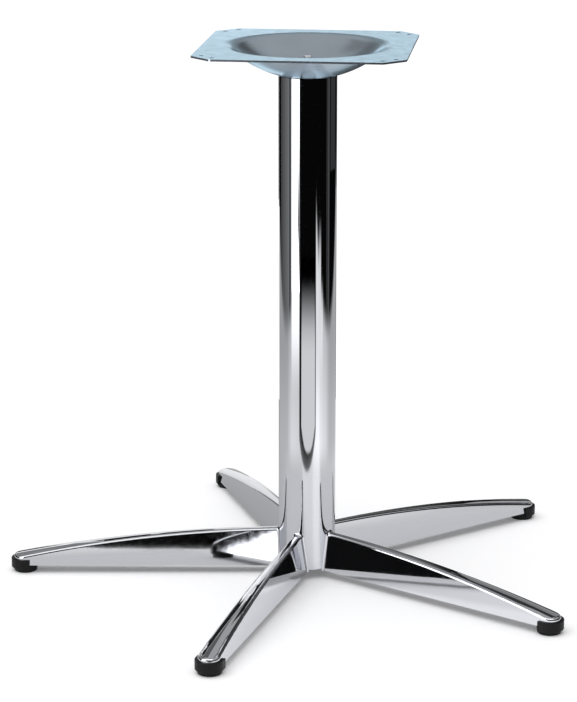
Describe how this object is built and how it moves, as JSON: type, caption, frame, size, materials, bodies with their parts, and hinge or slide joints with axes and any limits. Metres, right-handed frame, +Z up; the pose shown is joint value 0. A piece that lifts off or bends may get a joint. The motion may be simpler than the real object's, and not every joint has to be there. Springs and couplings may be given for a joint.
{
  "type": "five-star table base",
  "caption": "Column table base: dished square top plate on a round chromed tube with star legs of pressed sheet and black moulded feet.",
  "frame": {"origin": "on the floor, under the column's axis", "axes": "+Z up along the column, X and Y along the sides of the top plate"},
  "size_m": [0.7476, 0.7583, 0.715],
  "materials": {
    "chrome": "bright chrome plate on steel",
    "zinc_sheet": "bright blue zinc plate on pressed sheet steel",
    "zinc_fastener": "zinc plated",
    "plain_steel": "plain mill finish",
    "foot_plastic": "black moulded plastic with a fine grain"
  },
  "bodies": {
    "root": {"top_plate": "zinc_sheet", "column_tube": "chrome", "column_base_disc": "plain_steel", "tie_rod": "zinc_fastener", "top_washer": "zinc_fastener", "top_nut": "zinc_fastener", "bottom_washer": "zinc_fastener", "bottom_nut": "zinc_fastener", "leg_1": "chrome", "weld_1": "chrome", "leg_2": "chrome", "weld_2": "chrome", "leg_3": "chrome", "weld_3": "chrome", "leg_4": "chrome", "weld_4": "chrome", "leg_5": "chrome", "weld_5": "chrome", "foot_1": "foot_plastic", "foot_2": "foot_plastic", "foot_3": "foot_plastic", "foot_4": "foot_plastic", "foot_5": "foot_plastic"}
  },
  "joints": []
}
